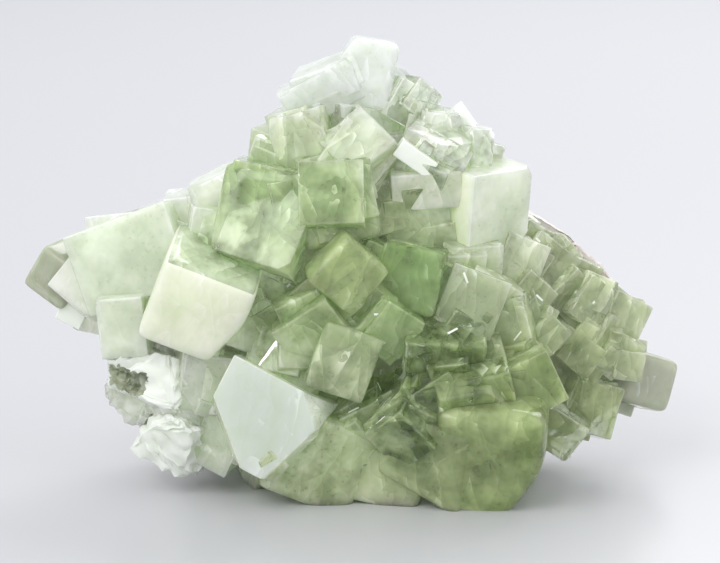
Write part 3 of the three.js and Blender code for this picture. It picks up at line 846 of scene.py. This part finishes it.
def applyBoolean(target, operation, operand):
    modifier = target.modifiers.new("join", "BOOLEAN")
    modifier.operation = operation
    modifier.solver = "MANIFOLD"
    if isinstance(operand, bpy.types.Collection):
        modifier.operand_type = "COLLECTION"
        modifier.collection = operand
    else:
        modifier.object = operand
    applyModifiers(target)
    target.data.materials.clear()


def keepLargest(bm):
    # drops crumbs that no longer join the mass
    seen = set()
    groups = []
    for start in bm.verts:
        if start in seen:
            continue
        group = []
        waiting = [start]
        seen.add(start)
        while waiting:
            vert = waiting.pop()
            group.append(vert)
            for edge in vert.link_edges:
                other = edge.other_vert(vert)
                if other not in seen:
                    seen.add(other)
                    waiting.append(other)
        groups.append(group)
    groups.sort(key=len)
    for group in groups[:-1]:
        bmesh.ops.delete(bm, geom=group, context="VERTS")


def growCrystals():
    scratch = bpy.data.collections.new("growing")
    bpy.context.scene.collection.children.link(scratch)
    others = bpy.data.collections.new("grown")
    scratch.children.link(others)
    mass = makeCrystal("fluorite", next(iter(crystals.values())), scratch)  # which the others join
    hosts = {name: spec for name, spec in crystals.items() if min(spec["size"]) >= growth["stepFrom"]}
    front = {
        name: spec for name, spec in hosts.items()
        if max(spec["size"]) <= bridge["hostUpTo"] and not spec.get("broken")
    }
    grown = {}
    for name, spec in crystals.items():
        grown[name] = {"chips": dice(name + " chips").randint(0, growth["cornerChips"]), **spec}

    def add(label, specs):
        grown.update((f"{label} {n}", spec) for n, spec in enumerate(specs))

    add("rim", rimCrystals())
    for name, host in hosts.items():
        if not host.get("broken") and not host.get("plain"):
            add(f"{name} step", growthSteps(name, host))
            if min(host["size"]) >= growth["twinFrom"] and max(host["size"]) < growth["twinUpTo"]:
                add(f"{name} twin", twins(name, host))
    add("bridge", bridges(front))
    bare = [spec for spec in hosts.values() if not {"broken", "rounded", "plain"} & set(spec)]
    add("sprout", sprouts(bare))
    add("flake", flakes(bare))
    for name, spec in grown.items():
        makeCrystal(name, spec, others)
    cracks = bpy.data.collections.new("cracks")
    scratch.children.link(cracks)
    makeCracks(cracks)
    # the hollow's faces take the darker dusk look: painted shade
    makeCrystal("pocket", pocket, cracks)
    applyBoolean(mass, "UNION", others)
    applyBoolean(mass, "DIFFERENCE", rockRoom(scratch))
    bm = bmesh.new()
    bm.from_mesh(mass.data)
    layers = lookLayers(bm)
    underside = cutAway(bm, Vector((0, 0, 0)), Vector((0, 0, -1)))
    paint(underside, layers, **looks[growth["cutLook"]])
    spreadHaze(underside, layers, False)
    keepLargest(bm)
    bm.to_mesh(mass.data)
    bm.free()
    applyBoolean(mass, "DIFFERENCE", cracks)
    bpy.context.scene.collection.objects.link(mass)
    for group in (others, cracks, scratch):
        for made in list(group.objects):
            if made is not mass:
                bpy.data.objects.remove(made)
        bpy.data.collections.remove(group)
    mass.data.shade_smooth()
    mass.data.set_sharp_from_angle(angle=math.radians(growth["smoothAngle"]))
    flat = mass.modifiers.new("evenFaces", "WEIGHTED_NORMAL")
    flat.keep_sharp = True
    print("crystals joined:", len(mass.data.polygons), "faces")
    return mass


fluoriteLook = dict(
    ior=1.434,
    absorbColour=(0.62, 0.82, 0.48),
    absorbDensity=14,
    milkRadius=(0.9, 1.0, 0.8),
    milkScale=0.008,
    chalkRoughness=0.55,
    zones={"Scale": 110, "Detail": 3, "Roughness": 0.6},
    zoneRamp=((0.36, 0), (0.64, 1)),
    hazeRamp=((0.38, 0), (0.56, 0.9)),
    grain={"Scale": 1100, "Detail": 1},
    speckRamp=((0.62, 0), (0.72, 1)),
    clusterRamp=((0.46, 1), (0.56, 0)),
    # the brightest slivers are painted near-white: painted glints of light off inner cracks
    paintedGlintRamp=((0.66, 0), (0.85, 1)),
    tones=dict(mean=0.45, shards=1.1, slivers=0.7),  # how bright the inside is, and what adds to it
    milk=dict(least=0.25, frost=0.25, zone=0.5, inside=0.6),  # what brings the milk to the full tint
    share=dict(cloud=0.87, zone=0.3, inside=0.9, paintedGlint=0.5),  # what makes the inside milky
    shareFrom=0.4,  # the brightness of the inside that leaves it so
    speckShow=0.5,
    # how strongly the painted glints show
    paintedGlintShow=0.4,
    clearWhite=0.75,  # how far the clear part is towards white
    clearRoughness=(0.01, 0.25),  # without frost, and what frost adds
    milkRoughness=(0.03, 0.4),
    chalkShare=0.9,  # of a fully frosted face
    shards=dict(turn=(0.6, 0.3, 0.78), scale=(0.2, 0.13, 0.09)),  # radians and cells per mm
    slivers=dict(turn=(-0.7, 0.9, 0.2), scale=(0.5, 0.3, 0.2)),
    unevenPace=(1.7, 2.1, 1.3),  # how fast the width of the cells changes along each axis
    uneven=(0.4, 0.4, 0.4),  # of a cell, how far its edges are shifted
    deeper=(0.78, 0.88, 0.66),  # of the tint, where a crystal is clearer
    speckColour=(0.12, 0.17, 0.07),
    # the near-white of the painted glints
    paintedGlintColour=(0.95, 0.97, 0.92),
    white=(1, 1, 1),
)


def cleavageShards(f, local, warp, turn, scale):
    # patches between cleavage planes, each of one tone that fades across it
    place = f.node("Mapping", sockets={"Vector": local, "Rotation": turn, "Scale": scale})
    wave = f.vector("SINE", f.vector("MULTIPLY", place, fluoriteLook["unevenPace"]))
    uneven = f.vector("MULTIPLY_ADD", wave, fluoriteLook["uneven"], place)
    bent = f.vector("ADD", uneven, warp)
    tone = f.node("TexWhiteNoise", sockets={"Vector": f.vector("FLOOR", bent)})
    across = f.node("SeparateXYZ", sockets={"Vector": f.vector("FRACTION", bent)})
    return tone * (across * 0.5 + across.also("Y") * 0.5)


def fluoriteMaterial():
    f = Finish("greenFluorite")
    look = fluoriteLook
    place = f.node("TexCoord").also("Object")
    own = f.stored("tint")
    around = f.stored("around")
    frost = f.stored("frost").also("Fac")
    shardShow = f.stored("shard").also("Fac")
    local = f.stored("local").also("Vector")
    # clearer and milkier zones, through the whole mass
    zones = f.noiseAt(place, look["zones"])
    zoneMask = f.ramp(zones, *look["zoneRamp"])
    # haze that passes from crystal to crystal
    haze = f.ramp(zones, *look["hazeRamp"])
    tint = f.mixColour(haze, own, around)
    cloud = own.also("Alpha") * (1 - haze) + around.also("Alpha") * haze
    # shards between cleavage planes, large and small
    shards = cleavageShards(f, local, zones, **look["shards"])
    slivers = cleavageShards(f, local, zones, **look["slivers"])
    tones = look["tones"]
    shardTone = shards * tones["shards"] + slivers * tones["slivers"]
    inside = tones["mean"] + (shardTone - tones["mean"]) * shardShow
    # painted glints: the brightest slivers stand in for light caught by inner cracks
    paintedGlint = shardShow * f.ramp(slivers, *look["paintedGlintRamp"])
    # dark specks in clusters
    grain = f.noiseAt(place, look["grain"])
    specks = f.ramp(grain, *look["speckRamp"]) * f.ramp(zones, *look["clusterRamp"])

    deeper = f.mixColour(1.0, tint, look["deeper"], "MULTIPLY")
    bare = (1 - frost) ** 2
    zone = (zoneMask - 0.5) * bare
    by = look["milk"]
    fullTint = by["least"] + frost * by["frost"] + zone * by["zone"] + inside * by["inside"]
    milkBase = f.mixColour(fullTint, deeper, tint)
    specked = f.mixColour(specks * bare ** 2 * look["speckShow"], milkBase, look["speckColour"])
    # the painted glints lighten the milk's colour
    milkColour = f.mixColour(paintedGlint * look["paintedGlintShow"], specked, look["paintedGlintColour"])
    clearColour = f.mixColour(look["clearWhite"], tint, look["white"])
    ior = {"IOR": look["ior"]}
    smooth, frosted = look["clearRoughness"]
    clear = f.surface(clearColour, smooth + frost * frosted, {**ior, "Transmission Weight": 1.0})
    smooth, frosted = look["milkRoughness"]
    depth = {"Subsurface Radius": look["milkRadius"], "Subsurface Scale": look["milkScale"]}
    milky = f.surface(milkColour, smooth + frost * frosted, {**ior, "Subsurface Weight": 1.0, **depth})
    by = look["share"]
    # the painted glints also raise the milky share
    shown = (inside - look["shareFrom"]) * by["inside"] + paintedGlint * by["paintedGlint"]
    share = cloud * by["cloud"] + zone * by["zone"] + shown * (1 - cloud) * (1 - frost)
    through = f.node("MixShader", sockets={0: share, 1: clear, 2: milky})
    chalky = f.surface(milkColour, look["chalkRoughness"], ior)
    chalk = frost ** 2 * look["chalkShare"]
    surface = f.node("MixShader", sockets={0: chalk, 1: through, 2: chalky})
    volume = f.node(
        "VolumeAbsorption",
        sockets={"Color": (*look["absorbColour"], 1), "Density": look["absorbDensity"]},
    )
    return f.finishWith(surface, volume)


# Rock crust

crustLook = dict(
    voxel=0.8,  # mm between the points of its surface
    relief=0.7,  # mm the broken surface rises and falls
    lump=4.5,  # mm across a lump
    chips=160,  # flat breaks
    chipReach=(4, 10),  # mm
    chipDepth=(0.2, 0.9),  # mm
    chipTilt=0.35,
    chipFacing=0.2,  # cosine between a point's normal and the break, at least
    chipMost=2,  # mm broken off at most
    octaves=(0.8, 2.1, 5),  # dimension, step and count of the relief
    stains={"Scale": 90, "Detail": 6, "Roughness": 0.6},
    stainRamp=((0.4, 0), (0.68, 1)),
    grains={"Scale": 700},
    speckRamp=((0.08, 1), (0.3, 0)),
    speckShow=0.5,
    speckHeight=0.3,  # of the height of the stains
    roughness=(0.7, 0.25),  # of the pale rock, and how much more where it is stained
    paleColour=(0.78, 0.73, 0.70),
    stainColour=(0.50, 0.41, 0.36),
    speckColour=(0.86, 0.84, 0.82),
    bump={"Strength": 0.5, "Distance": 0.0006},
)


def makeCrust():
    node = frame["nodes"]["rock_crust"]
    bm = bmesh.new()
    bm.from_mesh(node.data)
    bmesh.ops.remove_doubles(bm, verts=bm.verts, dist=1e-6)
    crust = objectFrom(bm, "crustRock", bpy.context.scene.collection)
    remesh = crust.modifiers.new("even", "REMESH")
    remesh.mode = "VOXEL"
    remesh.voxel_size = crustLook["voxel"] * mm
    applyModifiers(crust)
    bm = bmesh.new()
    bm.from_mesh(crust.data)
    bm.normal_update()
    for vert in bm.verts:
        spot = vert.co / mm / crustLook["lump"]
        lift = noise.fractal(spot, *crustLook["octaves"])
        vert.co += vert.normal * lift * crustLook["relief"] * mm
    verts = bm.verts[:]
    rng = dice("crust")
    for _ in range(crustLook["chips"]):
        start = rng.choice(verts)
        lean = Vector([rng.gauss(0, crustLook["chipTilt"]) for _ in range(3)])
        way = (start.normal + lean).normalized()
        point = start.co - way * rng.uniform(*crustLook["chipDepth"]) * mm
        reach = rng.uniform(*crustLook["chipReach"]) * mm
        for vert in verts:
            over = (vert.co - point).dot(way)
            facing = vert.normal.dot(way) > crustLook["chipFacing"]
            if 0 < over < crustLook["chipMost"] * mm and facing and (vert.co - start.co).length < reach:
                vert.co -= way * over
    for vert in verts:
        vert.co.z = max(vert.co.z, 0)
    bm.to_mesh(crust.data)
    bm.free()
    crust.data.shade_flat()
    print("crust made:", len(crust.data.polygons), "faces")
    return crust


def rockMaterial():
    f = Finish("paleRock")
    place = f.node("TexCoord").also("Object")
    stains = f.noiseAt(place, crustLook["stains"])
    grains = f.node("TexVoronoi", sockets={"Vector": place, **crustLook["grains"]})
    speck = f.ramp(grains, *crustLook["speckRamp"])
    stainMask = f.ramp(stains, *crustLook["stainRamp"])
    base = f.mixColour(stainMask, crustLook["paleColour"], crustLook["stainColour"])
    colour = f.mixColour(speck * crustLook["speckShow"], base, crustLook["speckColour"])
    height = stains + speck * crustLook["speckHeight"]
    bump = f.node("Bump", sockets={**crustLook["bump"], "Height": height})
    dull, duller = crustLook["roughness"]
    return f.finishWith(f.surface(colour, dull + stainMask * duller, {"Normal": bump}))


# Floor, light and camera

studio = dict(
    floorSize=4.0,
    floorColour=(0.48, 0.48, 0.49),
    floorMottle=(0.42, 0.42, 0.43),
    mottle={"Scale": 6, "Detail": 3},
    mottleShow=0.12,
    floorRoughness=0.35,
    worldColour=(0.93, 0.95, 1.0),
    worldStrength=0.95,
    lights=[
        dict(name="key", at=(-0.55, -0.55, 0.75), size=0.7, power=6.0),
        dict(name="fill", at=(0.75, -0.5, 0.45), size=0.8, power=2.2),
        dict(name="back", at=(0.35, 0.75, 0.75), size=0.7, power=6.0),
        dict(name="spark", at=(-0.25, -0.8, 0.6), size=0.06, power=0.8),
    ],
    lookAt=(0, 0, 0.045),
)

# The camera's target and place in mm, as the photograph was taken
view = dict(target=(1.3, 0, 44.5), distance=700, elevation=12.5, lens=163.5, sensor=36, farEnd=20000)


def floorMaterial():
    f = Finish("paleFloor")
    place = f.node("TexCoord").also("Object")
    mottle = f.noiseAt(place, studio["mottle"]) * studio["mottleShow"]
    colour = f.mixColour(mottle, studio["floorColour"], studio["floorMottle"])
    return f.finishWith(f.surface(colour, studio["floorRoughness"]))


def makeFloor():
    bm = bmesh.new()
    bmesh.ops.create_grid(bm, x_segments=1, y_segments=1, size=studio["floorSize"] / 2)
    floor = objectFrom(bm, "floor", bpy.context.scene.collection)
    floor.data.materials.append(floorMaterial())


def makeLights():
    for spec in studio["lights"]:
        lamp = bpy.data.lights.new(spec["name"], "AREA")
        lamp.size = spec["size"]
        lamp.energy = spec["power"]
        holder = bpy.data.objects.new(spec["name"], lamp)
        holder.location = spec["at"]
        way = Vector(studio["lookAt"]) - holder.location
        holder.rotation_euler = way.to_track_quat("-Z", "Y").to_euler()
        bpy.context.scene.collection.objects.link(holder)
    world = bpy.data.worlds.new("studio")
    world.use_nodes = True
    sky = world.node_tree.nodes["Background"]
    sky.inputs["Color"].default_value = (*studio["worldColour"], 1)
    sky.inputs["Strength"].default_value = studio["worldStrength"]
    bpy.context.scene.world = world


def makeCamera():
    lens = bpy.data.cameras.new("camera")
    lens.lens = view["lens"]
    lens.sensor_width = view["sensor"]
    lens.clip_end = view["farEnd"] * mm
    camera = bpy.data.objects.new("camera", lens)
    tilt = math.radians(view["elevation"])
    away = Vector((0, -math.cos(tilt), math.sin(tilt))) * view["distance"] * mm
    camera.location = Vector(view["target"]) * mm + away
    camera.rotation_euler = (-away).to_track_quat("-Z", "Y").to_euler()
    bpy.context.scene.collection.objects.link(camera)
    bpy.context.scene.camera = camera


makeFloor()
makeLights()
makeCamera()
bpy.context.scene.view_settings.view_transform = "Standard"
print("stage set")

fluorite = growCrystals()
fluorite.data.materials.append(fluoriteMaterial())
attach(fluorite, "root")
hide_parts("fluorite_crystals")

crust = makeCrust()
crust.data.materials.append(rockMaterial())
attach(crust, "root")
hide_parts("rock_crust")
